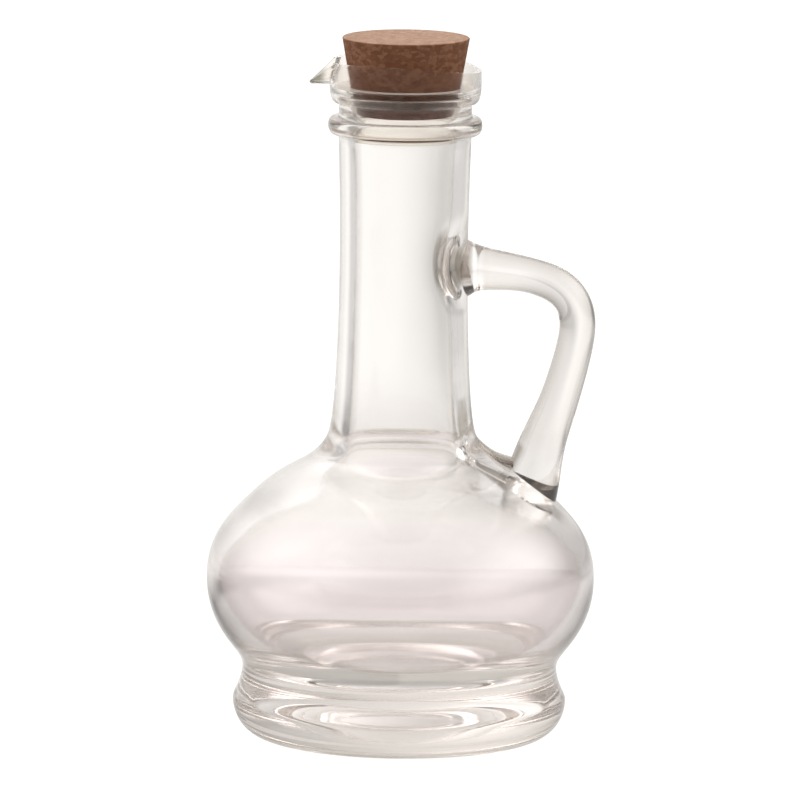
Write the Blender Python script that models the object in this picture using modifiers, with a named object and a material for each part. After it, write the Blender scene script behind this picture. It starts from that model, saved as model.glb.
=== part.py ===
"""Oil cruet: a blown glass body, a glass handle, a soft pourer over the mouth and a tapered cork.

The body stands at z = 0 and its turning axis is Z. The handle is at +X and the pourer's beak at -X.
"""

from math import asin, atan2, cos, hypot, pi, radians, sin, tan

import bmesh
import bpy
from mathutils import Matrix, Vector

# Fits
seat_gap = 0.0003
overrun = 0.0040

# Cork
cork_top_radius = 0.0156
cork_bottom_radius = 0.01225
cork_length = 0.0190
cork_depth = 0.0052
cork_edge = 0.0006

# Pourer
plug_wall = 0.0008
plug_depth = 0.0110
ledge_thickness = 0.0014
collar_wall = 0.0020
cup_wall = 0.0013
skirt_depth = 0.0022
rim_rise = 0.0078
rim_drop = 0.0021
rim_bow = 0.0014
beak_projection = 0.0047
beak_rise = 0.0020
beak_wall = 0.0009
beak_tip_radius = 0.0004
beak_half_angle = radians(40)

# Glass body, from the foot to the lip
bearing_inner_radius = 0.0260
bearing_outer_radius = 0.0330
push_up = 0.0060
foot_radius = 0.0410
foot_rise = 0.0090
waist_radius = 0.0383
waist_rise = 0.0088
bulb_radius = 0.0477
bulb_rise = 0.0217
neck_root_radius = 0.0179
shoulder_rise = 0.0355
neck_waisting = 0.0006
neck_length = 0.0739
ring_projection = 0.0026
ring_thickness = 0.0042
finish_length = 0.0059
finish_wall = 0.0017
lip_rounding = 0.0005

# Glass thicknesses
floor_thickness = 0.0075
bulb_wall = 0.0030
shoulder_wall = 0.0075
neck_root_wall = 0.0037
neck_wall = 0.0039

# Handle
handle_thickness = 0.0085
handle_reach = 0.0474
handle_root_rise = 0.0421
handle_foot_radius = 0.0321

# Counts
turn_steps = 56
small_turn_steps = 48
beak_steps = 44
corner_steps = 4
push_up_steps = 7
bowl_steps = 9
rim_steps = 15
ring_steps = 8
handle_side_steps = 8
handle_length_steps = 5

# Outline shares, each pair a share of the way up and a share of the way out
flare_shares = ((0.10, 0.95), (0.30, 0.58), (0.60, 0.24))
lower_bulb_shares = ((0.12, 0.13), (0.26, 0.42), (0.45, 0.71), (0.65, 0.90), (0.84, 0.98))
shoulder_shares = (
    (0.11, 0.99),
    (0.21, 0.96),
    (0.32, 0.90),
    (0.42, 0.81),
    (0.52, 0.69),
    (0.61, 0.58),
    (0.68, 0.48),
    (0.74, 0.37),
    (0.79, 0.26),
    (0.83, 0.17),
    (0.88, 0.10),
    (0.94, 0.04),
)
neck_flare_shares = ((0.05, 0.73), (0.13, 0.45), (0.23, 0.26), (0.37, 0.09), (0.54, 0.00))
neck_top_shares = ((0.75, 0.15), (0.90, 0.60))
throat_shares = ((0.30, 0.25), (0.70, 0.75))
ring_squareness_share = 0.60
skirt_corner_share = 0.70
throat_length_share = 1.00
beak_root_share = 0.50
bowl_fullness_share = 0.80

# Handle shares: the way out, the way up and the thickness
upper_arm_shares = (
    (-0.12, 0.98, 1.78),
    (0.00, 0.98, 1.66),
    (0.09, 0.98, 1.32),
    (0.28, 0.97, 1.15),
    (0.56, 0.95, 1.00),
    (0.85, 0.89, 1.07),
)
bend_shares = (1.00, 0.76, 1.03)
lower_arm_shares = (
    (0.82, 0.54, 1.07),
    (0.53, 0.34, 1.15),
    (0.21, 0.17, 1.34),
    (0.00, 0.00, 1.60),
    (-0.14, -0.12, 1.68),
)

# Heights and radii that follow
foot_height = foot_rise
waist_height = foot_height + waist_rise
bulb_height = waist_height + bulb_rise
neck_root_height = bulb_height + shoulder_rise
ring_height = neck_root_height + neck_length
ring_top_height = ring_height + ring_thickness
lip_height = ring_top_height + finish_length
bowl_bottom_height = push_up + floor_thickness
cork_bottom_height = lip_height - cork_depth
plug_bottom_height = lip_height - plug_depth
ledge_bottom_height = lip_height + seat_gap
ledge_top_height = ledge_bottom_height + ledge_thickness
skirt_bottom_height = lip_height - skirt_depth
rim_height = lip_height + rim_rise
cork_taper = (cork_top_radius - cork_bottom_radius) / cork_length


def cork_radius_at(height):
    """Radius of the cork's cone, which also runs on past its ends."""
    return cork_bottom_radius + cork_taper * (height - cork_bottom_height)


def bore_radius_at(height):
    """Radius of the pourer's bore round the cork."""
    return cork_radius_at(height) + seat_gap


def plug_radius_at(height):
    """Outer radius of the pourer's plug."""
    return bore_radius_at(height) + plug_wall


def mouth_radius_at(height):
    """Radius of the glass mouth round the plug."""
    return plug_radius_at(height) + seat_gap


finish_radius = mouth_radius_at(lip_height) + finish_wall
neck_radius = finish_radius - neck_waisting
neck_bore_radius = neck_radius - neck_wall
skirt_bore_radius = finish_radius + seat_gap
collar_radius = skirt_bore_radius + collar_wall
cup_radius = collar_radius - cup_wall


def between(start, end, share):
    """Value at a share of the way from start to end."""
    return start + (end - start) * share


def points_between(low, high, shares):
    """Points at shares of the way up from low to high, with radii as shares above the smaller end."""
    narrow = min(low[0], high[0])
    wide = max(low[0], high[0])
    points = []
    for up_share, out_share in shares:
        points.append((between(narrow, wide, out_share), between(low[1], high[1], up_share)))
    return points


def quarter_round(start, end, steps, flat_first):
    """Points of a quarter ellipse between two corners, both left out."""
    points = []
    for step in range(1, steps):
        angle = pi / 2 * step / steps
        if flat_first:
            across = sin(angle)
            along = 1 - cos(angle)
        else:
            across = 1 - cos(angle)
            along = sin(angle)
        points.append((between(start[0], end[0], across), between(start[1], end[1], along)))
    return points


def outer_side():
    """Outside of the glass from the bearing ring up to the ring bead's foot."""
    bearing = (bearing_outer_radius, 0)
    foot = (foot_radius, foot_height)
    waist = (waist_radius, waist_height)
    bulb = (bulb_radius, bulb_height)
    root = (neck_root_radius, neck_root_height)
    neck = (neck_radius, ring_height)
    top = (finish_radius, ring_height)
    points = [bearing]
    points += quarter_round(bearing, foot, corner_steps + 1, True)
    points.append(foot)
    points += points_between(foot, waist, flare_shares)
    points.append(waist)
    points += points_between(waist, bulb, lower_bulb_shares)
    points.append(bulb)
    points += points_between(bulb, root, shoulder_shares)
    points.append(root)
    points += points_between(root, neck, neck_flare_shares)
    points += points_between((neck_radius, neck_root_height), top, neck_top_shares)
    points.append(top)
    return points


def ring_bead():
    """Outside of the rounded ring under the mouth, from its foot to its top."""
    middle = ring_height + ring_thickness / 2
    points = []
    for step in range(1, ring_steps):
        angle = pi * (step / ring_steps - 1 / 2)
        out = cos(angle) ** ring_squareness_share
        points.append((finish_radius + ring_projection * out, middle + ring_thickness / 2 * sin(angle)))
    points.append((finish_radius, ring_top_height))
    return points


def lip():
    """Rounded lip of the mouth, from its outer side over to its inner side."""
    inside = mouth_radius_at(lip_height)
    outer_low = (finish_radius, lip_height - lip_rounding)
    outer_high = (finish_radius - lip_rounding, lip_height)
    inner_high = (inside + lip_rounding, lip_height)
    inner_low = (mouth_radius_at(lip_height - lip_rounding), lip_height - lip_rounding)
    points = [outer_low]
    points += quarter_round(outer_low, outer_high, corner_steps - 1, False)
    points += [outer_high, inner_high]
    points += quarter_round(inner_high, inner_low, corner_steps - 1, True)
    points.append(inner_low)
    return points


def bowl(rim, bottom_height):
    """Full bowl under the bulb's widest line, from its rim down to its middle."""
    points = []
    for step in range(bowl_steps):
        angle = pi / 2 * step / bowl_steps
        across = cos(angle) ** bowl_fullness_share
        points.append((rim[0] * across, between(rim[1], bottom_height, sin(angle))))
    points.append((0, bottom_height))
    return points


def underside():
    """Underside of the foot, from its flat bearing ring in and up to the middle of the push-up."""
    points = [(bearing_inner_radius, 0)]
    for step in range(1, push_up_steps):
        inward = step / push_up_steps
        risen = inward**2 * (3 - 2 * inward)
        points.append((bearing_inner_radius * (1 - inward), push_up * risen))
    points.append((0, push_up))
    return points


def inner_side():
    """Inside of the glass, from under the plug down to the middle of the bowl."""
    plug_end = (mouth_radius_at(plug_bottom_height), plug_bottom_height)
    throat_rise = plug_depth * throat_length_share
    throat_end = (neck_bore_radius, plug_bottom_height - throat_rise)
    bore_top = (neck_bore_radius, ring_height)
    bulb = (bulb_radius - bulb_wall, bulb_height)
    root = (neck_root_radius - neck_root_wall, neck_root_height - shoulder_wall)
    points = [plug_end]
    points += reversed(points_between(throat_end, plug_end, throat_shares))
    points.append(throat_end)
    points += reversed(points_between(root, bore_top, neck_flare_shares))
    points.append(root)
    points += reversed(points_between(bulb, root, shoulder_shares))
    points += bowl(bulb, bowl_bottom_height)
    return points


def turned(name, profile, steps, collection, is_ring=False):
    """Solid turned round Z from a profile of radii and heights that runs down its outer side."""
    mesh = bpy.data.meshes.new(name)
    vertices = [(radius, 0, height) for radius, height in profile]
    edges = [(index, index + 1) for index in range(len(profile) - 1)]
    if is_ring:
        edges.append((len(profile) - 1, 0))
    mesh.from_pydata(vertices, edges, [])
    shape = bpy.data.objects.new(name, mesh)
    collection.objects.link(shape)
    screw = shape.modifiers.new("Turn", "SCREW")
    screw.axis = "Z"
    screw.angle = 2 * pi
    screw.steps = steps
    screw.render_steps = steps
    screw.use_merge_vertices = True
    screw.merge_threshold = seat_gap / 30
    screw.use_smooth_shade = True
    return shape


def add_boolean(shape, cutter, operation):
    """Cut or join a shape with a helper shape."""
    modifier = shape.modifiers.new(cutter.name, "BOOLEAN")
    modifier.object = cutter
    modifier.operation = operation
    modifier.solver = "EXACT"


def as_helper(shape):
    """Show a helper shape as wire and keep it out of the render."""
    shape.hide_render = True
    shape.display_type = "WIRE"
    return shape


def add_material(shape, colour, roughness, transmission, refraction):
    """Give a shape its own material."""
    material = bpy.data.materials.new(shape.name + "_material")
    material.use_nodes = True
    surface = material.node_tree.nodes["Principled BSDF"]
    surface.inputs["Base Color"].default_value = colour
    surface.inputs["Roughness"].default_value = roughness
    surface.inputs["Metallic"].default_value = 0
    surface.inputs["Transmission Weight"].default_value = transmission
    surface.inputs["IOR"].default_value = refraction
    material.diffuse_color = colour
    shape.data.materials.append(material)


def glass_envelope(name, collection):
    """Solid that covers the glass body above its widest line, larger by the seat gap."""
    outline = [point for point in outer_side() if point[1] >= bulb_height]
    grown = []
    for index, point in enumerate(outline):
        before = outline[max(index - 1, 0)]
        after = outline[min(index + 1, len(outline) - 1)]
        across = after[0] - before[0]
        along = after[1] - before[1]
        length = hypot(across, along)
        grown.append((point[0] + seat_gap * along / length, point[1] - seat_gap * across / length))
    profile = [(0, grown[-1][1])] + list(reversed(grown)) + [(0, grown[0][1])]
    return as_helper(turned(name, profile, turn_steps, collection))


def shoulder_height_at(radius):
    """Height of the shoulder's outside at a radius."""
    outline = [point for point in outer_side() if bulb_height <= point[1] <= neck_root_height]
    for low, high in zip(outline[:-1], outline[1:]):
        if high[0] <= radius <= low[0]:
            return between(low[1], high[1], (low[0] - radius) / (low[0] - high[0]))
    return neck_root_height


def handle_path():
    """Centre line of the handle from inside the neck to inside the shoulder, with its thicknesses."""
    low_height = shoulder_height_at(handle_foot_radius)
    high_height = neck_root_height + handle_root_rise
    far = handle_reach - handle_thickness / 2 * bend_shares[2]
    path = []
    for out_share, up_share, thickness_share in upper_arm_shares + (bend_shares,):
        place = (between(neck_radius, far, out_share), between(low_height, high_height, up_share))
        path.append((place, thickness_share))
    for out_share, up_share, thickness_share in lower_arm_shares:
        place = (between(handle_foot_radius, far, out_share), between(low_height, high_height, up_share))
        path.append((place, thickness_share))
    return path


def make_handle(parts, helpers):
    """Glass handle: a bent rod that swells at both ends and is cut to the neck and the shoulder."""
    curve = bpy.data.curves.new("handle_rod", "CURVE")
    curve.dimensions = "3D"
    curve.bevel_depth = handle_thickness / 2
    curve.bevel_resolution = handle_side_steps
    curve.resolution_u = handle_length_steps
    curve.use_fill_caps = True
    spline = curve.splines.new("BEZIER")
    path = handle_path()
    spline.bezier_points.add(len(path) - 1)
    spline.radius_interpolation = "CARDINAL"
    for point, (place, thickness_share) in zip(spline.bezier_points, path):
        point.co = (place[0], 0, place[1])
        point.radius = thickness_share
        point.handle_left_type = "AUTO"
        point.handle_right_type = "AUTO"
    rod = bpy.data.objects.new("handle_rod", curve)
    parts.objects.link(rod)
    mesh = bpy.data.meshes.new_from_object(rod.evaluated_get(bpy.context.evaluated_depsgraph_get()))
    solid = bmesh.new()
    solid.from_mesh(mesh)
    bmesh.ops.remove_doubles(solid, verts=solid.verts, dist=seat_gap / 300)
    bmesh.ops.recalc_face_normals(solid, faces=solid.faces)
    solid.to_mesh(mesh)
    solid.free()
    handle = bpy.data.objects.new("glass_handle", mesh)
    handle.matrix_world = rod.matrix_world
    parts.objects.link(handle)
    bpy.data.objects.remove(rod)
    mesh.shade_smooth()
    add_boolean(handle, glass_envelope("glass_envelope", helpers), "DIFFERENCE")
    return handle


def make_vessel(parts):
    """Glass body: one wall of glass, open at the mouth."""
    outside = outer_side() + ring_bead()
    mouth = list(reversed(lip()))
    profile = list(reversed(inner_side())) + mouth + list(reversed(outside)) + underside()
    return turned("glass_vessel", profile, turn_steps, parts)


def pourer_wall():
    """Section of the pourer's wall: down the collar and the plug, then up the bore and the cup."""
    top = rim_height + overrun
    corner = collar_wall * skirt_corner_share
    side_end = (collar_radius, ledge_top_height)
    skirt_end = (collar_radius - corner, skirt_bottom_height)
    profile = [(collar_radius, top), side_end]
    profile += quarter_round(side_end, skirt_end, corner_steps, False)
    profile += [skirt_end, (skirt_bore_radius, skirt_bottom_height)]
    profile += [(skirt_bore_radius, ledge_bottom_height)]
    profile += [(plug_radius_at(ledge_bottom_height), ledge_bottom_height)]
    profile += [(plug_radius_at(plug_bottom_height), plug_bottom_height)]
    profile += [(bore_radius_at(plug_bottom_height), plug_bottom_height)]
    profile += [(bore_radius_at(ledge_top_height), ledge_top_height)]
    profile += [(cup_radius, ledge_top_height), (cup_radius, top)]
    return profile


def box_above(name, origin, tilt, helpers):
    """Large box whose bottom face passes through a point, turned about Y."""
    mesh = bpy.data.meshes.new(name)
    solid = bmesh.new()
    bmesh.ops.create_cube(solid, size=1)
    reach = 2 * collar_radius + beak_projection + overrun
    bmesh.ops.scale(solid, vec=(2 * reach, 2 * reach, reach), verts=solid.verts)
    bmesh.ops.translate(solid, vec=(0, 0, reach / 2), verts=solid.verts)
    solid.to_mesh(mesh)
    solid.free()
    box = bpy.data.objects.new(name, mesh)
    box.location = origin
    box.rotation_euler = (0, tilt, 0)
    helpers.objects.link(box)
    return as_helper(box)


def rim_cutter(helpers):
    """Block over the rim, its underside bowed so that the rim is lowest at the beak and opposite."""
    half_length = 2 * collar_radius + beak_projection + overrun
    half_width = collar_radius + overrun
    rows = [(-half_width, half_length)]
    for step in range(rim_steps + 1):
        across = between(-half_width, half_width, step / rim_steps)
        rows.append((across, rim_bow * (across / collar_radius) ** 2))
    rows.append((half_width, half_length))
    mesh = bpy.data.meshes.new("rim_cut")
    solid = bmesh.new()
    section = [solid.verts.new((-half_length, across, height)) for across, height in rows]
    end = solid.faces.new(section)
    pushed = bmesh.ops.extrude_face_region(solid, geom=[end])
    far_end = [item for item in pushed["geom"] if isinstance(item, bmesh.types.BMVert)]
    bmesh.ops.translate(solid, vec=(2 * half_length, 0, 0), verts=far_end)
    bmesh.ops.recalc_face_normals(solid, faces=solid.faces)
    solid.to_mesh(mesh)
    solid.free()
    cutter = bpy.data.objects.new("rim_cut", mesh)
    cutter.location = (-collar_radius, 0, rim_height)
    cutter.rotation_euler = (0, asin(rim_drop / (2 * collar_radius)), 0)
    helpers.objects.link(cutter)
    return as_helper(cutter)


def beak_cone(name, inset, end_radius, helpers):
    """Cone along the beak, level along its underside, its narrow end at the beak's tip."""
    apex_shift = end_radius / sin(beak_half_angle)
    shift = inset / sin(beak_half_angle)
    length = (beak_projection + collar_radius / 2) / cos(beak_half_angle)
    start_radius = end_radius + length * tan(beak_half_angle)
    mesh = bpy.data.meshes.new(name)
    solid = bmesh.new()
    bmesh.ops.create_cone(
        solid,
        cap_ends=True,
        segments=beak_steps,
        radius1=end_radius,
        radius2=start_radius,
        depth=length,
    )
    half_step = Matrix.Rotation(pi / beak_steps, 3, "Z")
    bmesh.ops.rotate(solid, cent=(0, 0, 0), matrix=half_step, verts=solid.verts)
    bmesh.ops.translate(solid, vec=(0, 0, length / 2 + shift), verts=solid.verts)
    solid.to_mesh(mesh)
    solid.free()
    cone = bpy.data.objects.new(name, mesh)
    lift = apex_shift * sin(beak_half_angle)
    tip = Vector((-(collar_radius + beak_projection), 0, lip_height + beak_rise + lift))
    turn = Matrix.Rotation(pi / 2 - beak_half_angle, 4, "Y")
    cone.matrix_world = Matrix.Translation(tip) @ turn
    helpers.objects.link(cone)
    return as_helper(cone)


def make_pourer(parts, helpers):
    """Soft pourer: collar over the lip, plug in the mouth, slanted rim and open beak."""
    pourer = turned("pourer", pourer_wall(), small_turn_steps, parts, is_ring=True)
    tip_height = lip_height + beak_rise + beak_wall
    tip = (-(collar_radius + beak_projection), 0, tip_height)
    slope = atan2(rim_height - tip_height, collar_radius + beak_projection - cup_radius)
    beak = beak_cone("beak_body", 0, beak_tip_radius, helpers)
    add_boolean(beak, box_above("beak_top", tip, -slope, helpers), "DIFFERENCE")
    core_radius = between(cup_radius, collar_radius, beak_root_share)
    core_top = rim_height + overrun
    core_profile = [(0, core_top), (core_radius, core_top), (core_radius, skirt_bottom_height)]
    core_profile.append((0, skirt_bottom_height))
    core = as_helper(turned("beak_root", core_profile, turn_steps, helpers))
    add_boolean(beak, core, "DIFFERENCE")
    add_boolean(pourer, beak, "UNION")
    add_boolean(pourer, beak_cone("beak_channel", beak_wall, beak_tip_radius, helpers), "DIFFERENCE")
    add_boolean(pourer, rim_cutter(helpers), "DIFFERENCE")
    return pourer


def make_cork(parts):
    """Tapered cork with slightly rounded edges."""
    mesh = bpy.data.meshes.new("cork_stopper")
    solid = bmesh.new()
    bmesh.ops.create_cone(
        solid,
        cap_ends=True,
        segments=small_turn_steps,
        radius1=cork_bottom_radius,
        radius2=cork_top_radius,
        depth=cork_length,
    )
    bmesh.ops.translate(solid, vec=(0, 0, cork_length / 2), verts=solid.verts)
    solid.to_mesh(mesh)
    solid.free()
    cork = bpy.data.objects.new("cork_stopper", mesh)
    cork.location = (0, 0, cork_bottom_height)
    parts.objects.link(cork)
    bevel = cork.modifiers.new("Edges", "BEVEL")
    bevel.width = cork_edge
    bevel.segments = 2
    bevel.limit_method = "ANGLE"
    bevel.angle_limit = radians(40)
    mesh.shade_smooth()
    mesh.set_sharp_from_angle(angle=radians(40))
    return cork


def main():
    """Build the cruet."""
    for old in list(bpy.data.objects):
        bpy.data.objects.remove(old)
    parts = bpy.data.collections.new("oil_cruet")
    helpers = bpy.data.collections.new("oil_cruet_cutters")
    bpy.context.scene.collection.children.link(parts)
    bpy.context.scene.collection.children.link(helpers)
    vessel = make_vessel(parts)
    handle = make_handle(parts, helpers)
    pourer = make_pourer(parts, helpers)
    cork = make_cork(parts)
    add_material(vessel, (0.95, 0.94, 0.93, 1), 0.02, 1, 1.5)
    add_material(handle, (0.95, 0.94, 0.93, 1), 0.02, 1, 1.5)
    add_material(pourer, (0.82, 0.78, 0.74, 1), 0.35, 0.5, 1.5)
    add_material(cork, (0.46, 0.29, 0.19, 1), 0.85, 0, 1.45)


main()
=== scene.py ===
"""Looks of the oil cruet: clear glass, a soft clear pourer and a pressed cork, on a pale floor."""

from math import asin, atan2, ceil, cos, exp, pi, radians, sin, tan

import bmesh
import bpy
from mathutils import Matrix, Vector, noise


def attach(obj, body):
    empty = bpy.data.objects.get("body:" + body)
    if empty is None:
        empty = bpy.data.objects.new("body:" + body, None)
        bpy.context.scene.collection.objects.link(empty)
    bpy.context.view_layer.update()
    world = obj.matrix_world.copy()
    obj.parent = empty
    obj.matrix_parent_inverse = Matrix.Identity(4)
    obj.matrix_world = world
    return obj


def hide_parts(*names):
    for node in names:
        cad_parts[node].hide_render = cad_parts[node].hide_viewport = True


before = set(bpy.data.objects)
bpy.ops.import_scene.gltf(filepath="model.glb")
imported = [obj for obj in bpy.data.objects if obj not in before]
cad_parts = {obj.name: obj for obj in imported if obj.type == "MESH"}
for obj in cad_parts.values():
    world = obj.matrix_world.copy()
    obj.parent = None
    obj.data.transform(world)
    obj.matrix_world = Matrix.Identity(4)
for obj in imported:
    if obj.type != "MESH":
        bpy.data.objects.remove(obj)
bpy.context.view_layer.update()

# Sizes in metres, the same as those of the CAD model
seat_gap = 0.0003
cork_top_radius = 0.0156
cork_bottom_radius = 0.01225
cork_length = 0.0190
cork_depth = 0.0052
plug_wall = 0.0008
plug_depth = 0.0110
ledge_thickness = 0.0014
collar_wall = 0.0020
cup_wall = 0.0013
skirt_depth = 0.0022
rim_rise = 0.0078
rim_drop = 0.0021
rim_bow = 0.0014
beak_projection = 0.0047
beak_rise = 0.0020
beak_wall = 0.0009
beak_tip_radius = 0.0004
beak_half_angle = radians(40)
bearing_inner_radius = 0.0260
bearing_outer_radius = 0.0330
push_up = 0.0060
foot_radius = 0.0410
foot_rise = 0.0090
waist_radius = 0.0383
waist_rise = 0.0088
bulb_radius = 0.0477
bulb_rise = 0.0217
neck_root_radius = 0.0179
shoulder_rise = 0.0355
neck_waisting = 0.0006
neck_length = 0.0739
ring_projection = 0.0026
ring_thickness = 0.0042
finish_length = 0.0059
finish_wall = 0.0017
lip_rounding = 0.0005
floor_thickness = 0.0075
bulb_wall = 0.0030
shoulder_wall = 0.0075
neck_root_wall = 0.0037
neck_wall = 0.0039
handle_thickness = 0.0085
handle_reach = 0.0474
handle_root_rise = 0.0421
handle_foot_radius = 0.0321

# Small sizes in metres of the shapes that are finer here than in the CAD model
bead_side_gap = 0.0008
bead_end_lift = 0.0003
bead_end_lap = 0.0001
swelling_depth = 0.0020
swelling_width = 0.0070
swelling_height = 0.0072
swelling_limit = 0.0180
pourer_edge = 0.00024
cork_edge = 0.0005
cork_pit_depth = 0.00012
overrun = 0.0040
block_length = 0.1
block_height = 0.05
axis_limit = 0.000001

# Longest steps in metres along the walls, short so that smooth shading does not bleed over straight ones
glass_step = 0.0005
bowl_step = 0.0010
pourer_step = 0.0006

# Share of a step by which a wall may be too long for its whole number of steps
step_tolerance = 0.001

# Numbers of sides
glass_sides = 144
pourer_sides = 128
core_sides = 120
cork_sides = 160
beak_sides = 96
handle_sides = 48
ridge_sides = 24

# Angles above which an edge stays sharp
glass_edge_angle = radians(38)
pourer_edge_angle = radians(40)
cork_edge_angle = radians(50)

# Shares of the way up and out
flare_shares = ((0.10, 0.95), (0.30, 0.58), (0.60, 0.24))
lower_bulb_shares = ((0.12, 0.13), (0.26, 0.42), (0.45, 0.71), (0.65, 0.90), (0.84, 0.98))
shoulder_shares = (
    (0.11, 0.99),
    (0.21, 0.96),
    (0.32, 0.90),
    (0.42, 0.81),
    (0.52, 0.69),
    (0.61, 0.58),
    (0.68, 0.48),
    (0.74, 0.37),
    (0.79, 0.26),
    (0.83, 0.17),
    (0.88, 0.10),
    (0.94, 0.04),
)
neck_flare_shares = ((0.05, 0.73), (0.13, 0.45), (0.23, 0.26), (0.37, 0.09), (0.54, 0.00))
neck_top_shares = ((0.75, 0.15), (0.90, 0.60))
throat_shares = ((0.30, 0.25), (0.70, 0.75))

# Handle: the way out, the way up and the thickness
upper_arm_shares = (
    (-0.12, 0.98, 1.78),
    (0.00, 0.98, 1.66),
    (0.09, 0.98, 1.32),
    (0.28, 0.97, 1.15),
    (0.56, 0.95, 1.00),
    (0.85, 0.89, 1.07),
)
bend_shares = (1.00, 0.76, 1.03)
lower_arm_shares = (
    (0.82, 0.54, 1.07),
    (0.53, 0.34, 1.15),
    (0.21, 0.17, 1.34),
    (0.00, 0.00, 1.60),
    (-0.14, -0.12, 1.68),
)

# Ridge under the handle: the way out, the way up and the thickness
ridge_shares = (
    (-0.07, 1.00, 0.14),
    (0.10, 0.72, 0.26),
    (0.28, 0.53, 0.32),
    (0.46, 0.42, 0.36),
    (0.68, 0.32, 0.38),
    (1.00, 0.00, 0.36),
    (1.22, -0.26, 0.14),
)
ridge_width_share = 2.2

# Single shares and powers that shape the curves
dome_share = 0.65
skirt_rounding_share = 0.7
cork_top_face_shares = (0.35, 0.7)
cork_low_face_share = 0.5
lower_bead_power = 0.6
upper_bead_power = 0.3
bowl_power = 0.80

waist_height = foot_rise + waist_rise
bulb_height = waist_height + bulb_rise
neck_root_height = bulb_height + shoulder_rise
ring_height = neck_root_height + neck_length
ring_top_height = ring_height + ring_thickness
lip_height = ring_top_height + finish_length
bowl_bottom_height = push_up + floor_thickness
handle_root_height = neck_root_height + handle_root_rise
cork_bottom_height = lip_height - cork_depth
plug_bottom_height = lip_height - plug_depth
ledge_bottom_height = lip_height + seat_gap
ledge_top_height = ledge_bottom_height + ledge_thickness
skirt_bottom_height = lip_height - skirt_depth
rim_height = lip_height + rim_rise
cork_taper = (cork_top_radius - cork_bottom_radius) / cork_length


def cork_radius_at(height):
    """Radius of the cork's cone."""
    return cork_bottom_radius + cork_taper * (height - cork_bottom_height)


def bore_radius_at(height):
    """Radius of the pourer's bore."""
    return cork_radius_at(height) + seat_gap


def plug_radius_at(height):
    """Outer radius of the plug."""
    return bore_radius_at(height) + plug_wall


def mouth_radius_at(height):
    """Radius of the glass mouth."""
    return plug_radius_at(height) + seat_gap


finish_radius = mouth_radius_at(lip_height) + finish_wall
neck_radius = finish_radius - neck_waisting
neck_bore_radius = neck_radius - neck_wall
skirt_bore_radius = finish_radius + seat_gap
collar_radius = skirt_bore_radius + collar_wall
cup_radius = collar_radius - cup_wall

bulb_place = (bulb_radius, bulb_height)
neck_root_place = (neck_root_radius, neck_root_height)


def between(start, end, share):
    """Value at a share of the way from start to end."""
    return start + (end - start) * share


def points_between(low, high, shares):
    """Points at shares of the way up, with radii as shares above the smaller end."""
    narrow = min(low[0], high[0])
    wide = max(low[0], high[0])
    points = []
    for up_share, out_share in shares:
        points.append((between(narrow, wide, out_share), between(low[1], high[1], up_share)))
    return points


def quarter_round(start, end, steps, flat_first):
    """Points of a quarter ellipse between two corners, both left out."""
    points = []
    for step in range(1, steps):
        angle = pi / 2 * step / steps
        across = sin(angle) if flat_first else 1 - cos(angle)
        along = 1 - cos(angle) if flat_first else sin(angle)
        points.append((between(start[0], end[0], across), between(start[1], end[1], along)))
    return points


def smooth_line(points, steps):
    """Smooth line through the points, as a centripetal spline with the given steps in each stretch."""
    rows = [Vector(point) for point in points]
    rows = [2 * rows[0] - rows[1]] + rows + [2 * rows[-1] - rows[-2]]
    line = []
    for index in range(1, len(rows) - 2):
        a, b, c, d = rows[index - 1 : index + 3]
        t0 = 0
        t1 = t0 + (b - a).length ** 0.5
        t2 = t1 + (c - b).length ** 0.5
        t3 = t2 + (d - c).length ** 0.5
        for step in range(steps):
            t = t1 + (t2 - t1) * step / steps
            ab = a * ((t1 - t) / (t1 - t0)) + b * ((t - t0) / (t1 - t0))
            bc = b * ((t2 - t) / (t2 - t1)) + c * ((t - t1) / (t2 - t1))
            cd = c * ((t3 - t) / (t3 - t2)) + d * ((t - t2) / (t3 - t2))
            abc = ab * ((t2 - t) / (t2 - t0)) + bc * ((t - t0) / (t2 - t0))
            bcd = bc * ((t3 - t) / (t3 - t1)) + cd * ((t - t1) / (t3 - t1))
            line.append(tuple(abc * ((t2 - t) / (t2 - t1)) + bcd * ((t - t1) / (t2 - t1))))
    line.append(tuple(rows[-2]))
    return line


def eased(line, rounds):
    """The same line with its small unevenness smoothed out, its ends kept."""
    for _ in range(rounds):
        rows = [Vector(point) for point in line]
        middle = []
        for before, here, after in zip(rows[:-2], rows[1:-1], rows[2:]):
            middle.append(tuple((before + 2 * here + after) / 4))
        line = [line[0]] + middle + [line[-1]]
    return line


def with_short_steps(line, longest):
    """The same line with points added so that no step is longer than the given length."""
    points = []
    for start, end in zip(line[:-1], line[1:]):
        length = (Vector(end) - Vector(start)).length
        steps = max(1, ceil(length / longest - step_tolerance))
        for step in range(steps):
            share = step / steps
            points.append((between(start[0], end[0], share), between(start[1], end[1], share)))
    points.append(line[-1])
    return points


def new_piece(name, shape):
    """Object made from a shape that is no longer needed, linked to the scene."""
    mesh = bpy.data.meshes.new(name)
    shape.to_mesh(mesh)
    shape.free()
    piece = bpy.data.objects.new(name, mesh)
    bpy.context.scene.collection.objects.link(piece)
    return piece


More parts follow.
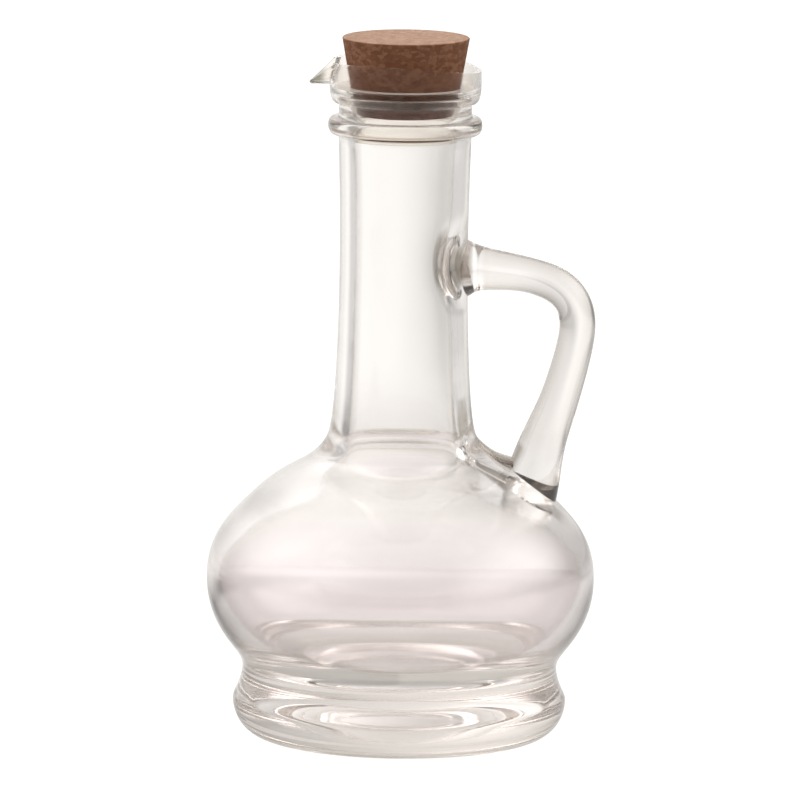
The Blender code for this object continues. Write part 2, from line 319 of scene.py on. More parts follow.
def turned_piece(name, profile, sides):
    """Closed piece turned round Z from a profile that runs down its outer side or round its section."""
    shape = bmesh.new()
    rings = []
    for radius, height in profile:
        if radius < axis_limit:
            rings.append([shape.verts.new((0, 0, height))])
            continue
        ring = []
        for side in range(sides):
            angle = 2 * pi * side / sides
            ring.append(shape.verts.new((radius * cos(angle), radius * sin(angle), height)))
        rings.append(ring)
    if profile[0][0] > axis_limit:
        rings.append(rings[0])
    for upper, lower in zip(rings[:-1], rings[1:]):
        for side in range(sides):
            after = (side + 1) % sides
            if len(upper) == 1:
                shape.faces.new((upper[0], lower[side], lower[after]))
            elif len(lower) == 1:
                shape.faces.new((upper[side], lower[0], upper[after]))
            else:
                shape.faces.new((upper[side], lower[side], lower[after], upper[after]))
    return new_piece(name, shape)


def rod_piece(name, line, sides, width_share):
    """Closed rod along a line of places and radii in the plane of the handle."""
    shape = bmesh.new()
    rings = []
    for index, (out, up, radius) in enumerate(line):
        before = line[max(index - 1, 0)]
        after = line[min(index + 1, len(line) - 1)]
        way = Vector((after[0] - before[0], 0, after[1] - before[1])).normalized()
        across = Vector((-way.z, 0, way.x))
        ring = []
        for side in range(sides):
            angle = 2 * pi * side / sides
            sideways = Vector((0, width_share * radius * sin(angle), 0))
            ring.append(shape.verts.new(Vector((out, 0, up)) + across * (radius * cos(angle)) + sideways))
        rings.append(ring)
    for first, second in zip(rings[:-1], rings[1:]):
        for side in range(sides):
            after = (side + 1) % sides
            shape.faces.new((first[side], first[after], second[after], second[side]))
    shape.faces.new(list(reversed(rings[0])))
    shape.faces.new(rings[-1])
    bmesh.ops.recalc_face_normals(shape, faces=shape.faces)
    return new_piece(name, shape)


def cut_or_join(piece, other, operation):
    """Cut the other piece out of a piece or join it on, at once."""
    modifier = piece.modifiers.new("cut", "BOOLEAN")
    modifier.object = other
    modifier.operation = operation
    modifier.solver = "EXACT"
    graph = bpy.context.evaluated_depsgraph_get()
    mesh = bpy.data.meshes.new_from_object(piece.evaluated_get(graph))
    piece.modifiers.clear()
    old_mesh = piece.data
    piece.data = mesh
    bpy.data.meshes.remove(old_mesh)
    bpy.data.objects.remove(other)


def bead_points():
    """Ring bead from its lower end to its upper end, fuller above its middle."""
    steps = 12
    middle = ring_height + ring_thickness / 2
    points = [(finish_radius + bead_end_lift, ring_height - bead_end_lap)]
    for step in range(1, steps):
        angle = pi * (step / steps - 1 / 2)
        out = cos(angle) ** (lower_bead_power if angle < 0 else upper_bead_power)
        points.append((finish_radius + ring_projection * out, middle + ring_thickness / 2 * sin(angle)))
    points.append((finish_radius + bead_end_lift, ring_top_height + bead_end_lap))
    return points


def outer_line():
    """Outside of the glass from the bearing ring up to the lip."""
    bearing = (bearing_outer_radius, 0)
    foot = (foot_radius, foot_rise)
    waist = (waist_radius, waist_height)
    rows = [bearing]
    rows += quarter_round(bearing, foot, steps=6, flat_first=True)
    rows.append(foot)
    rows += points_between(foot, waist, flare_shares)
    rows.append(waist)
    rows += points_between(waist, bulb_place, lower_bulb_shares)
    rows.append(bulb_place)
    rows += points_between(bulb_place, neck_root_place, shoulder_shares)
    rows.append(neck_root_place)
    rows += points_between(neck_root_place, (neck_radius, ring_height), neck_flare_shares)
    rows += points_between((neck_radius, neck_root_height), (finish_radius, ring_height), neck_top_shares)
    rows.append((finish_radius, ring_height - bead_side_gap))
    line = eased(smooth_line(rows, steps=4), rounds=12)
    line += smooth_line(bead_points(), steps=2)
    finish_low = (finish_radius, ring_top_height + bead_side_gap)
    finish_high = (finish_radius, lip_height - lip_rounding)
    return line + with_short_steps([finish_low, finish_high], glass_step)


def inner_line():
    """Inside of the glass from under the plug down to the middle of the bowl."""
    plug_end = (mouth_radius_at(plug_bottom_height), plug_bottom_height)
    throat_end = (neck_bore_radius, plug_bottom_height - plug_depth)
    bulb = (bulb_radius - bulb_wall, bulb_height)
    root = (neck_root_radius - neck_root_wall, neck_root_height - shoulder_wall)
    rows = [plug_end]
    rows += reversed(points_between(throat_end, plug_end, throat_shares))
    rows.append(throat_end)
    rows += reversed(points_between(root, (neck_bore_radius, ring_height), neck_flare_shares))
    rows.append(root)
    rows += reversed(points_between(bulb, root, shoulder_shares))
    steps = 13
    for step in range(steps):
        angle = pi / 2 * step / steps
        rows.append((bulb[0] * cos(angle) ** bowl_power, between(bulb[1], bowl_bottom_height, sin(angle))))
    rows.append((0, bowl_bottom_height))
    return with_short_steps(eased(smooth_line(rows, steps=4), rounds=40), bowl_step)


def underside_line():
    """Underside of the glass from the bearing ring up to the middle of the push-up's dome."""
    steps = 24
    line = [(bearing_inner_radius, 0)]
    for step in range(1, steps):
        inward = step / steps
        rise = min(1, inward / dome_share)
        line.append((bearing_inner_radius * (1 - inward), push_up * (1 - (1 - rise) ** 2)))
    line.append((0, push_up))
    return line


def shoulder_height_at(radius):
    """Height of the shoulder's outside at a radius between the neck's root and the bulb."""
    rows = [bulb_place] + points_between(bulb_place, neck_root_place, shoulder_shares) + [neck_root_place]
    above = next(index for index, row in enumerate(rows) if row[0] <= radius)
    low, high = rows[above - 1], rows[above]
    return between(low[1], high[1], (low[0] - radius) / (low[0] - high[0]))


handle_foot_height = shoulder_height_at(handle_foot_radius)


def rod_rows(shares, near, far, high):
    """Places and radii of a rod, from shares of the ways out and up and of the handle's thickness."""
    rows = []
    for out_share, up_share, thickness_share in shares:
        radius = thickness_share * handle_thickness / 2
        rows.append((between(near, far, out_share), between(handle_foot_height, high, up_share), radius))
    return rows


def make_handle():
    """Bent rod of glass that swells at both ends, with both ends inside the body."""
    far = handle_reach - handle_thickness / 2 * bend_shares[2]
    rows = rod_rows(upper_arm_shares + (bend_shares,), neck_radius, far, handle_root_height)
    rows += rod_rows(lower_arm_shares, handle_foot_radius, far, handle_root_height)
    line = eased(smooth_line(rows, steps=12), rounds=30)
    return rod_piece("handle_rod", line, handle_sides, width_share=1)


def make_ridge():
    """Low ridge of glass that runs along the shoulder from the neck's root to under the handle's foot."""
    rows = rod_rows(ridge_shares, neck_root_radius, handle_foot_radius, neck_root_height)
    return rod_piece("ridge", smooth_line(rows, steps=6), ridge_sides, width_share=ridge_width_share)


def swell_behind_handle(mesh):
    """Swell the neck's inner wall inwards behind the handle's upper root."""
    for vertex in mesh.vertices:
        x, y, z = vertex.co
        rise = z - handle_root_height
        if x > 0 and abs(rise) < swelling_limit:
            share = exp(-((y / swelling_width) ** 2) - (rise / swelling_height) ** 2)
            vertex.co.x = x - swelling_depth * share


def make_glass():
    """Body and handle as one piece of glass."""
    lip_outer_low = (finish_radius, lip_height - lip_rounding)
    lip_outer_high = (finish_radius - lip_rounding, lip_height)
    outside = [(0, lip_height), lip_outer_high]
    outside += reversed(quarter_round(lip_outer_low, lip_outer_high, steps=5, flat_first=False))
    outside += reversed(outer_line())
    outside += underside_line()
    piece = turned_piece("clear_glass", outside, glass_sides)
    cut_or_join(piece, make_handle(), "UNION")
    cut_or_join(piece, make_ridge(), "UNION")
    lip_inner_high = (mouth_radius_at(lip_height) + lip_rounding, lip_height)
    lip_inner_low = (mouth_radius_at(lip_height - lip_rounding), lip_height - lip_rounding)
    inside = inner_line()
    hollow = [(0, lip_height + overrun), (lip_inner_high[0], lip_height + overrun), lip_inner_high]
    hollow += quarter_round(lip_inner_high, lip_inner_low, steps=5, flat_first=True)
    hollow += with_short_steps([lip_inner_low, inside[0]], glass_step)[:-1]
    hollow += inside
    hollow_piece = turned_piece("hollow", hollow, glass_sides)
    swell_behind_handle(hollow_piece.data)
    cut_or_join(piece, hollow_piece, "DIFFERENCE")
    piece.data.shade_smooth()
    piece.data.set_sharp_from_angle(angle=glass_edge_angle)
    return piece


def large_block(name, origin, tilt):
    """Large block whose bottom face passes through a point, turned about Y."""
    shape = bmesh.new()
    bmesh.ops.create_cube(shape, size=1)
    bmesh.ops.scale(shape, vec=(block_length, block_length, block_height), verts=shape.verts)
    bmesh.ops.translate(shape, vec=(0, 0, block_height / 2), verts=shape.verts)
    bmesh.ops.rotate(shape, cent=(0, 0, 0), matrix=Matrix.Rotation(tilt, 3, "Y"), verts=shape.verts)
    bmesh.ops.translate(shape, vec=origin, verts=shape.verts)
    return new_piece(name, shape)


def rim_block():
    """Block over the rim, its underside bowed so that the rim is lowest at the beak and opposite."""
    steps = 41
    half_width = collar_radius + overrun
    rows = [(-half_width, block_height)]
    for step in range(steps + 1):
        across = between(-half_width, half_width, step / steps)
        rows.append((across, rim_bow * (across / collar_radius) ** 2))
    rows.append((half_width, block_height))
    shape = bmesh.new()
    end = shape.faces.new([shape.verts.new((-block_length / 2, across, height)) for across, height in rows])
    pushed = bmesh.ops.extrude_face_region(shape, geom=[end])
    far_end = [item for item in pushed["geom"] if isinstance(item, bmesh.types.BMVert)]
    bmesh.ops.translate(shape, vec=(block_length, 0, 0), verts=far_end)
    bmesh.ops.recalc_face_normals(shape, faces=shape.faces)
    place = Matrix.Translation((-collar_radius, 0, rim_height))
    tilt = Matrix.Rotation(asin(rim_drop / (2 * collar_radius)), 4, "Y")
    bmesh.ops.transform(shape, matrix=place @ tilt, verts=shape.verts)
    return new_piece("rim_block", shape)


def beak_cone(name, inset):
    """Cone along the beak, level along its underside."""
    length = (beak_projection + collar_radius / 2) / cos(beak_half_angle)
    shape = bmesh.new()
    bmesh.ops.create_cone(
        shape,
        cap_ends=True,
        segments=beak_sides,
        radius1=beak_tip_radius,
        radius2=beak_tip_radius + length * tan(beak_half_angle),
        depth=length,
    )
    half_side = Matrix.Rotation(pi / beak_sides, 3, "Z")
    bmesh.ops.rotate(shape, cent=(0, 0, 0), matrix=half_side, verts=shape.verts)
    bmesh.ops.translate(shape, vec=(0, 0, length / 2 + inset / sin(beak_half_angle)), verts=shape.verts)
    tip = Vector((-(collar_radius + beak_projection), 0, lip_height + beak_rise + beak_tip_radius))
    turn = Matrix.Translation(tip) @ Matrix.Rotation(pi / 2 - beak_half_angle, 4, "Y")
    bmesh.ops.transform(shape, matrix=turn, verts=shape.verts)
    return new_piece(name, shape)


# Places of the pourer's two materials in its list, and how far up a face must look to be milky white as a
# painted highlight, as are the bevelled edges
clear_index = 0
milky_highlight_index = 1
milky_highlight_facing = 0.9


def make_pourer():
    """Soft pourer with its collar, plug, slanted rim and open beak."""
    top = rim_height + overrun
    side_end = (collar_radius, ledge_top_height)
    skirt_end = (collar_radius - collar_wall * skirt_rounding_share, skirt_bottom_height)
    wall = [(collar_radius, top), side_end]
    wall += quarter_round(side_end, skirt_end, steps=8, flat_first=False)
    wall += [skirt_end, (skirt_bore_radius, skirt_bottom_height), (skirt_bore_radius, ledge_bottom_height)]
    wall.append((plug_radius_at(ledge_bottom_height), ledge_bottom_height))
    wall.append((plug_radius_at(plug_bottom_height), plug_bottom_height))
    wall.append((bore_radius_at(plug_bottom_height), plug_bottom_height))
    wall.append((bore_radius_at(ledge_top_height), ledge_top_height))
    wall += [(cup_radius, ledge_top_height), (cup_radius, top)]
    piece = turned_piece("soft_pourer", with_short_steps(wall, pourer_step), pourer_sides)
    tip_height = lip_height + beak_rise + beak_wall
    tip = (-(collar_radius + beak_projection), 0, tip_height)
    slope = atan2(rim_height - tip_height, collar_radius + beak_projection - cup_radius)
    beak = beak_cone("beak", 0)
    cut_or_join(beak, large_block("beak_top", tip, -slope), "DIFFERENCE")
    core_radius = (cup_radius + collar_radius) / 2
    core = [(0, top), (core_radius, top), (core_radius, skirt_bottom_height), (0, skirt_bottom_height)]
    cut_or_join(beak, turned_piece("core", core, core_sides), "DIFFERENCE")
    cut_or_join(piece, beak, "UNION")
    cut_or_join(piece, beak_cone("channel", beak_wall), "DIFFERENCE")
    cut_or_join(piece, rim_block(), "DIFFERENCE")
    bevel = piece.modifiers.new("Edges", "BEVEL")
    bevel.width = pourer_edge
    # Bevelled edges get the milky white of painted highlight
    bevel.material = milky_highlight_index
    bevel.segments = 2
    bevel.limit_method = "ANGLE"
    bevel.angle_limit = pourer_edge_angle
    piece.data.shade_smooth()
    return piece


def make_cork():
    """Tapered cork with worn edges and a slightly uneven side."""
    bottom = cork_bottom_height
    top = bottom + cork_length
    side_top = top - cork_edge
    side_bottom = bottom + cork_edge
    face_top_radius = cork_top_radius - cork_edge
    face_bottom_radius = cork_bottom_radius - cork_edge
    profile = [(0, top)]
    profile += [(cork_top_radius * share, top) for share in cork_top_face_shares]
    profile.append((face_top_radius, top))
    top_edge = quarter_round((cork_top_radius, side_top), (face_top_radius, top), steps=4, flat_first=False)
    profile += reversed(top_edge)
    steps = 24
    for step in range(steps + 1):
        height = between(side_top, side_bottom, step / steps)
        profile.append((cork_radius_at(height), height))
    side_end = (cork_radius_at(side_bottom), side_bottom)
    profile += quarter_round(side_end, (face_bottom_radius, bottom), steps=4, flat_first=False)
    profile += [(face_bottom_radius, bottom), (cork_bottom_radius * cork_low_face_share, bottom), (0, bottom)]
    piece = turned_piece("pressed_cork", profile, cork_sides)
    pits_per_metre = 900
    for vertex in piece.data.vertices:
        outward = Vector((vertex.co.x, vertex.co.y, 0))
        if outward.length > axis_limit:
            inward = max(0, noise.noise(vertex.co * pits_per_metre)) * cork_pit_depth
            vertex.co -= outward.normalized() * inward
    piece.data.shade_smooth()
    piece.data.set_sharp_from_angle(angle=cork_edge_angle)
    return piece


# Depth in metres of the finest unevenness
relief_depth = 0.0002


class Nodes:
    """Small helper that adds and links the nodes of one shader."""

    def __init__(self, tree):
        self.tree = tree

    def add(self, kind, settings=None, **inputs):
        """New node with its settings and its inputs, where an input is a value or another node's output."""
        node = self.tree.nodes.new(kind)
        for key, value in (settings or {}).items():
            setattr(node, key, value)
        for key, value in inputs.items():
            self.put(node, key.replace("_", " "), value)
        return node

    def put(self, node, key, value):
        """Set or link one input."""
        socket = node.inputs[int(key)] if key.isdigit() else node.inputs[key]
        if isinstance(value, bpy.types.NodeSocket):
            self.tree.links.new(value, socket)
        else:
            socket.default_value = value

    def place(self, kind="Object"):
        """Coordinates of the point that is shaded: the whole, and its X, Y and Z."""
        whole = self.add("ShaderNodeTexCoord").outputs[kind]
        x, y, z = self.add("ShaderNodeSeparateXYZ", Vector=whole).outputs
        return whole, x, y, z

    def math(self, operation, *values):
        """Result of a calculation on values or other nodes' outputs."""
        inputs = {str(index): value for index, value in enumerate(values)}
        return self.add("ShaderNodeMath", {"operation": operation}, **inputs).outputs[0]

    def vector_math(self, operation, *vectors):
        """Vector that a calculation on vectors gives."""
        inputs = {str(index): vector for index, vector in enumerate(vectors)}
        return self.add("ShaderNodeVectorMath", {"operation": operation}, **inputs).outputs[0]

    def length(self, vector):
        """Length of a vector."""
        return self.add("ShaderNodeVectorMath", {"operation": "LENGTH"}, **{"0": vector}).outputs["Value"]

    def smooth_range(self, source, over, to):
        """Value that runs smoothly between two limits while the source runs over two others."""
        node = self.add("ShaderNodeMapRange", {"interpolation_type": "SMOOTHSTEP"}, Value=source)
        node.inputs["From Min"].default_value, node.inputs["From Max"].default_value = over
        node.inputs["To Min"].default_value, node.inputs["To Max"].default_value = to
        return node.outputs["Result"]

    def rising(self, source, over):
        """Share that rises smoothly from 0 to 1 while the source runs over two limits."""
        return self.smooth_range(source, over, (0.0, 1.0))

    def falling(self, source, over):
        """Share that falls smoothly from 1 to 0 while the source runs over two limits."""
        return self.smooth_range(source, over, (1.0, 0.0))

    def even_range(self, source, over):
        """Share that rises evenly from 0 to 1 while the source runs over two limits."""
        node = self.add("ShaderNodeMapRange", Value=source, From_Min=over[0], From_Max=over[1])
        return node.outputs["Result"]

    def mix(self, share, first, second, blend="MIX"):
        """Colour mixed from two, or multiplied."""
        settings = {"blend_type": blend}
        return self.add("ShaderNodeMixRGB", settings, Fac=share, Color1=first, Color2=second).outputs["Color"]

    def ramp(self, source, stops):
        """Colour ramp with the given stops of place and colour."""
        node = self.tree.nodes.new("ShaderNodeValToRGB")
        self.tree.links.new(source, node.inputs["Fac"])
        while len(node.color_ramp.elements) < len(stops):
            node.color_ramp.elements.new(1)
        for element, (place, colour) in zip(node.color_ramp.elements, stops):
            element.position = place
            element.color = colour + (1,)
        return node.outputs["Color"]

    def relief(self, surface, height, strength):
        """Fine relief on a surface."""
        node = self.add("ShaderNodeBump", Strength=strength, Distance=relief_depth, Height=height)
        self.put(surface, "Normal", node.outputs["Normal"])


def new_material(name, **inputs):
    """Material, the helper for its nodes and its surface, with the given inputs of the surface."""
    material = bpy.data.materials.new(name)
    material.use_nodes = True
    nodes = Nodes(material.node_tree)
    surface = material.node_tree.nodes["Principled BSDF"]
    for key, value in inputs.items():
        nodes.put(surface, key.replace("_", " "), value)
    return material, nodes, surface


# Tint of the glass over its height in metres, from the foot over the bulb and the neck to the ring bead:
# painted shade, darker at the foot, pinkish grey low in the bulb and darker at the ring bead, near clear
# elsewhere
glass_shade_heights = (0, 0.16)
clear_tint = (0.985, 0.975, 0.965)
ring_shade = (0.945, 0.925, 0.885)
glass_shade_stops = [
    (0.00, (0.66, 0.64, 0.57)),
    (0.04, (0.95, 0.93, 0.91)),
    (0.10, (0.96, 0.935, 0.92)),
    (0.15, (0.893, 0.850, 0.852)),
    (0.25, (0.888, 0.847, 0.850)),
    (0.38, (0.970, 0.955, 0.943)),
    (0.55, clear_tint),
    (0.925, clear_tint),
    (0.932, ring_shade),
    (0.957, ring_shade),
    (0.964, clear_tint),
]

# Painted shade of the glass from where it faces the eye to where it turns away: darker towards the edges of
# the body, and more strongly and more widely on the handle
body_edge_shade_stops = [(0.45, (1.0, 1.0, 1.0)), (0.65, (0.80, 0.785, 0.76)), (0.90, (0.50, 0.47, 0.43))]
handle_edge_shade_stops = [
    (0.00, (0.97, 0.955, 0.94)),
    (0.08, (0.895, 0.872, 0.850)),
    (0.30, (0.735, 0.715, 0.69)),
    (0.70, (0.58, 0.55, 0.515)),
]

# Painted shade on the glass, on the handle, at the handle's upper root, along the ridge and over the push-up:
# where each starts and ends, in metres, and the tints there
handle_out = (0.017, 0.020)
handle_up = (0.064, 0.076)
root_place = (0.0120, 0, handle_root_height)
root_reach = (0.0034, 0.0165, 0.0100)
root_fade = (0.70, 1.0)
ridge_slope = 0.88
ridge_level = 0.0938
ridge_above = (0.0038, 0.0058)
ridge_beside = (0.0030, 0.0052)
ridge_near_end = (0.0158, 0.0172)
ridge_far_end = (0.039, 0.042)
push_up_above = (0.0022, 0.0056)
push_up_out = (0.0262, 0.0270)
root_and_ridge_shade = (0.26, 0.23, 0.19, 1)
push_up_shade = (0.46, 0.44, 0.41, 1)


def glass_material():
    """Clear glass with painted shade: pinkish grey in the bulb, darker towards its edges, at the handle's
    upper root, along the ridge and over the push-up, with slight waves on its faces.
    """
    material, nodes, surface = new_material(
        "clear_glass", Roughness=0.06, Specular_IOR_Level=0.28, IOR=1.5, Transmission_Weight=1
    )
    place, x, y, z = nodes.place()
    # Painted shade by height: darker foot, pinkish grey bulb, darker ring bead
    tint = nodes.ramp(nodes.even_range(z, glass_shade_heights), glass_shade_stops)
    # Painted shade towards the edges, deeper on the handle
    facing = nodes.add("ShaderNodeLayerWeight", Blend=0.5).outputs["Facing"]
    on_handle = nodes.math("MULTIPLY", nodes.rising(x, handle_out), nodes.rising(z, handle_up))
    edge_shade = nodes.mix(on_handle, nodes.ramp(facing, body_edge_shade_stops), nodes.ramp(facing, handle_edge_shade_stops))
    tint = nodes.mix(1.0, tint, edge_shade, "MULTIPLY")

    # Painted shade: a dark oval at the handle's upper root and a dark band along the ridge
    from_root = nodes.vector_math("DIVIDE", nodes.vector_math("SUBTRACT", place, root_place), root_reach)
    shade_at_root = nodes.falling(nodes.length(from_root), root_fade)
    level = nodes.math("MULTIPLY_ADD", x, ridge_slope, z)
    above_ridge = nodes.math("ABSOLUTE", nodes.math("SUBTRACT", level, ridge_level))
    beside_ridge = nodes.math("ABSOLUTE", y)
    shade_on_ridge = nodes.math(
        "MULTIPLY", nodes.falling(above_ridge, ridge_above), nodes.falling(beside_ridge, ridge_beside)
    )
    shade_on_ridge = nodes.math("MULTIPLY", shade_on_ridge, nodes.rising(x, ridge_near_end))
    shade_on_ridge = nodes.math("MULTIPLY", shade_on_ridge, nodes.falling(x, ridge_far_end))
    tint = nodes.mix(nodes.math("MAXIMUM", shade_at_root, shade_on_ridge), tint, root_and_ridge_shade)

    # Painted shade over the push-up's dome
    outward = nodes.length(nodes.add("ShaderNodeCombineXYZ", X=x, Y=y).outputs["Vector"])
    under = nodes.math("MULTIPLY", nodes.falling(z, push_up_above), nodes.falling(outward, push_up_out))
    nodes.put(surface, "Base Color", nodes.mix(under, tint, push_up_shade))

    upright = nodes.add("ShaderNodeMapping", Vector=place, Scale=(0.25, 0.25, 1.0)).outputs["Vector"]
    waves = nodes.add("ShaderNodeTexNoise", Vector=upright, Scale=130.0, Detail=0.0).outputs["Fac"]
    nodes.relief(surface, waves, strength=0.5)
    depth = nodes.add("ShaderNodeVolumeAbsorption", Color=(0.50, 0.40, 0.32, 1), Density=4.5)
    nodes.put(material.node_tree.nodes["Material Output"], "Volume", depth.outputs["Volume"])
    return material


# Where the pourer passes into its darker beak, in metres, and its two tints
beak_start = (-0.0212, -0.0188)
pourer_tint_stops = [(0.0, (0.54, 0.53, 0.47)), (1.0, (0.945, 0.915, 0.88))]


def pourer_material(name, transmission):
    """Soft plastic, clear, or milky white as a painted highlight, a little darker in the beak."""
    material, nodes, surface = new_material(
        name, Roughness=0.12, Specular_IOR_Level=0.25, IOR=1.3, Transmission_Weight=transmission
    )
    place, x, _, _ = nodes.place()
    nodes.put(surface, "Base Color", nodes.ramp(nodes.rising(x, beak_start), pourer_tint_stops))
    haze = nodes.add("ShaderNodeTexNoise", Vector=place, Scale=120.0, Detail=2.0).outputs["Fac"]
    nodes.relief(surface, haze, strength=0.15)
    return material


# Browns of the cork's granules on its side and on its top, the top paler as painted light and the side darker
# as painted shade, and the colour of the gaps between them
cork_shaded_side_stops = [
    (0.20, (0.132, 0.054, 0.027)),
    (0.55, (0.154, 0.065, 0.033)),
    (0.85, (0.178, 0.079, 0.042)),
    (1.00, (0.206, 0.097, 0.056)),
]
cork_lit_top_stops = [
    (0.20, (0.265, 0.160, 0.107)),
    (0.50, (0.295, 0.183, 0.126)),
    (0.85, (0.322, 0.205, 0.144)),
    (1.00, (0.350, 0.230, 0.168)),
]
cork_gap_stops = [(0.0, (0.74, 0.72, 0.70)), (0.06, (1.0, 1.0, 1.0))]
granules_per_metre = 760.0

# How much the granules waver, how much fine grain shows in their tone and relief, and how much the gaps show
wobble_share = 0.0012
grain_tone_share = 0.5
grain_relief_share = 0.4
gap_share = 0.8

# How far up a face looks where the cork's painted-shade side passes into its painted-light top
cork_lit_top_facing = (0.5, 0.9)

# Redder lower end of the cork: its tint, and its limits in metres below the lip of the glass
cork_low_tint = (1.50, 1.08, 0.90, 1)
cork_low_depths = (0.0035, 0.0010)


def cork_material():
    """Pressed cork: granules of several browns with dark gaps and pits, its top painted paler than its side
    as painted light and shade.
    """
    material, nodes, surface = new_material("pressed_cork", Roughness=0.85, Specular_IOR_Level=0.15)
    place, _, _, z = nodes.place()
    stretched = nodes.add("ShaderNodeMapping", Vector=place, Scale=(1.0, 1.0, 1.5)).outputs["Vector"]
    wobble = nodes.add("ShaderNodeTexNoise", Vector=stretched, Scale=500.0, Detail=2.0).outputs["Color"]
    spot = nodes.mix(wobble_share, stretched, wobble)
    granules = nodes.add("ShaderNodeTexVoronoi", Vector=spot, Scale=granules_per_metre).outputs["Color"]
    granule_tone = nodes.add("ShaderNodeSeparateColor", Color=granules).outputs[0]
    grain = nodes.add("ShaderNodeTexNoise", Vector=place, Scale=2600.0, Detail=4.0, Roughness=0.65)
    fine = grain.outputs["Fac"]
    tone = nodes.math("MULTIPLY_ADD", fine, grain_tone_share, granule_tone)

    # Painted light and shade: paler browns on up-facing faces, darker on the side
    normal = nodes.add("ShaderNodeNewGeometry").outputs["Normal"]
    normal_up = nodes.add("ShaderNodeSeparateXYZ", Vector=normal).outputs["Z"]
    lit_top_share = nodes.even_range(normal_up, cork_lit_top_facing)
    colour = nodes.mix(lit_top_share, nodes.ramp(tone, cork_shaded_side_stops), nodes.ramp(tone, cork_lit_top_stops))
    low = nodes.falling(z, [lip_height - depth for depth in cork_low_depths])
    colour = nodes.mix(low, colour, cork_low_tint, "MULTIPLY")
    edges = nodes.add(
        "ShaderNodeTexVoronoi", {"feature": "DISTANCE_TO_EDGE"}, Vector=spot, Scale=granules_per_metre
    )
    gap = nodes.ramp(edges.outputs["Distance"], cork_gap_stops)
    nodes.put(surface, "Base Color", nodes.mix(gap_share, colour, gap, "MULTIPLY"))

    gap_tone = nodes.add("ShaderNodeSeparateColor", Color=gap).outputs[0]
    nodes.relief(surface, nodes.math("MULTIPLY_ADD", fine, grain_relief_share, gap_tone), strength=0.6)
    return material


# Floor, in metres: its half width, its gap under the foot and how far before the axis its bearings start
floor_half_width = 12
floor_gap = 0.00005
bearing_shift = 0.02

# Faintly warm light, and the least of it that the floor gives
floor_light_colour = (1, 0.985, 0.965, 1)
sky_light_colour = (1, 0.985, 0.97, 1)
least_floor_light = 0.20


def floor_material():
    """Plain white floor that glows evenly to the eye.

    The light that it sends through the glass is dimmer near the cruet, at the right, in a gap at the left
    and in front, as if dark cards lay there, so that the clear glass shows its edges.
    """
    material, nodes, surface = new_material(
        "pale_floor", Base_Color=(0.09, 0.09, 0.09, 1), Roughness=1, Specular_IOR_Level=0
    )
    place, x, y, _ = nodes.place()
    bearing = nodes.math("ARCTAN2", x, nodes.math("ADD", y, bearing_shift))
    distance = nodes.length(place)
    right = nodes.math(
        "MULTIPLY",
        nodes.rising(bearing, over=(-0.06, 0.26)),
        nodes.smooth_range(distance, over=(0.35, 0.70), to=(0.10, 0.45)),
    )
    nearby = nodes.smooth_range(y, over=(0.06, 0.12), to=(0.22, 0.70))
    distant = nodes.smooth_range(y, over=(0.24, 0.45), to=(0.0, 0.27))
    left = nodes.math(
        "MULTIPLY", nodes.falling(bearing, over=(-0.82, -0.50)), nodes.math("SUBTRACT", nearby, distant)
    )
    front = nodes.smooth_range(y, over=(-0.45, -0.10), to=(0.50, 0.0))
    around = nodes.smooth_range(distance, over=(0.30, 0.60), to=(0.86, 1.0))
    beyond = nodes.smooth_range(distance, over=(1.05, 1.60), to=(0.0, 0.12))
    light = nodes.math("SUBTRACT", around, beyond)
    light = nodes.math("SUBTRACT", light, nodes.math("ADD", right, nodes.math("ADD", left, front)))
    light = nodes.math("MAXIMUM", light, least_floor_light)
    seen = nodes.add("ShaderNodeLightPath").outputs["Is Camera Ray"]
    nodes.put(surface, "Emission Color", floor_light_colour)
    nodes.put(surface, "Emission Strength", nodes.math("MAXIMUM", light, seen))
    return material


def lay_floor():
    """Wide floor just under the foot."""
    shape = bmesh.new()
    bmesh.ops.create_grid(shape, x_segments=1, y_segments=1, size=floor_half_width)
    floor = new_piece("floor", shape)
    floor.location = (0, 0, -floor_gap)
    floor.data.materials.append(floor_material())


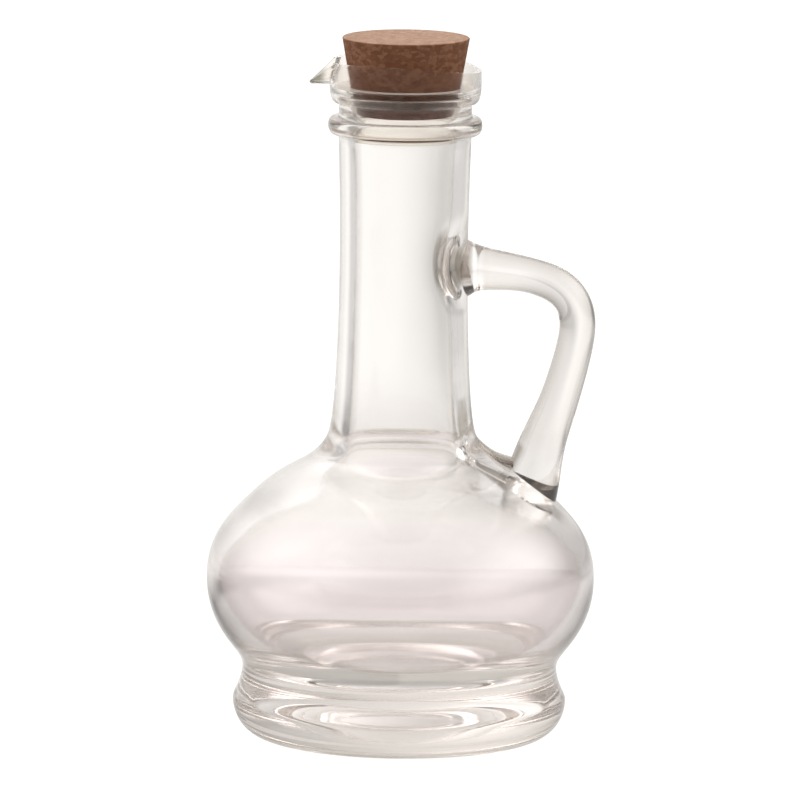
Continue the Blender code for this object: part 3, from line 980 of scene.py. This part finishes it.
def light_all_round():
    """Soft light from all round, even to the eye.

    For the object it is bright behind, dimmer at the right, with a glow at the left, and it has high soft
    lights at the left, at the right and overhead on the viewer's side.
    """
    world = bpy.data.worlds.new("studio")
    bpy.context.scene.world = world
    world.use_nodes = True
    nodes = Nodes(world.node_tree)
    _, x, y, z = nodes.place("Generated")
    back = nodes.smooth_range(y, over=(0.2, 0.97), to=(0.29, 1.0))
    back_right = nodes.smooth_range(x, over=(0.0, 0.45), to=(0.0, -0.25))
    glow = nodes.smooth_range(x, over=(-0.35, 0.12), to=(0.35, 0.0))
    glow_height = nodes.smooth_range(z, over=(0.02, 0.42), to=(0.30, 1.0))
    back = nodes.math("ADD", nodes.math("ADD", back, back_right), nodes.math("MULTIPLY", glow, glow_height))

    left = nodes.smooth_range(x, over=(-0.80, -0.15), to=(1.4, 0.0))
    right = nodes.smooth_range(x, over=(0.40, 0.90), to=(0.0, 2.8))
    overhead = nodes.smooth_range(z, over=(0.20, 0.70), to=(0.0, 1.15))
    high = nodes.rising(z, over=(0.02, 0.44))
    in_front = nodes.falling(y, over=(0.25, 0.75))
    sides = nodes.math("ADD", nodes.math("ADD", left, right), overhead)
    sides = nodes.math("MULTIPLY", sides, nodes.math("MULTIPLY", high, in_front))

    seen = nodes.add("ShaderNodeLightPath").outputs["Is Camera Ray"]
    strength = nodes.math("MAXIMUM", nodes.math("ADD", back, sides), seen)
    background = world.node_tree.nodes["Background"]
    nodes.put(background, "Strength", strength)
    nodes.put(background, "Color", sky_light_colour)


# The photograph's camera: its distance and aim in metres, its height above level, and its picture in pixels
camera_distance = 2.6
camera_elevation = radians(8.9)
camera_roll = radians(0.62)
aim_height = 0.0870
picture_width = 800
pixels_per_metre = 4080
shift_across = 2.2
shift_up = -15.6


def place_camera():
    """Camera at the photograph's viewing angle."""
    data = bpy.data.cameras.new("camera")
    data.sensor_width = 36
    focal_pixels = pixels_per_metre * camera_distance
    data.lens = focal_pixels / picture_width * data.sensor_width
    data.clip_start = 0.1
    data.clip_end = 40
    camera = bpy.data.objects.new("camera", data)
    bpy.context.scene.collection.objects.link(camera)
    away = Vector((0, -cos(camera_elevation), sin(camera_elevation)))
    camera.location = Vector((0, 0, aim_height)) + away * camera_distance
    turn = (-away).to_track_quat("-Z", "Y").to_matrix()
    aim = Matrix.Rotation(shift_across / focal_pixels, 3, "Y")
    aim = aim @ Matrix.Rotation(shift_up / focal_pixels, 3, "X")
    roll = Matrix.Rotation(camera_roll, 3, "Z")
    camera.matrix_world = Matrix.Translation(camera.location) @ (turn @ aim @ roll).to_4x4()
    bpy.context.scene.camera = camera


def set_light_limits():
    """Plain view, and enough bounces for glass inside glass."""
    bpy.context.scene.view_settings.view_transform = "Standard"
    cycles = bpy.context.scene.cycles
    cycles.max_bounces = 32
    cycles.glossy_bounces = 32
    cycles.transmission_bounces = 32


glass = make_glass()
glass.data.materials.clear()
glass.data.materials.append(glass_material())
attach(glass, "glass")
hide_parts("glass_vessel", "glass_handle")

pourer = make_pourer()
pourer.data.materials.clear()
pourer.data.materials.append(pourer_material("soft_plastic", transmission=1.0))
pourer.data.materials.append(pourer_material("milky_highlight_plastic", transmission=0.45))
# Up-facing faces get the milky white of painted highlight
for face in pourer.data.polygons:
    face.material_index = milky_highlight_index if face.normal.z > milky_highlight_facing else clear_index
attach(pourer, "pourer_body")
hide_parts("pourer")

cork = make_cork()
cork.data.materials.append(cork_material())
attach(cork, "stopper")
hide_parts("cork_stopper")

lay_floor()
light_all_round()
place_camera()
set_light_limits()
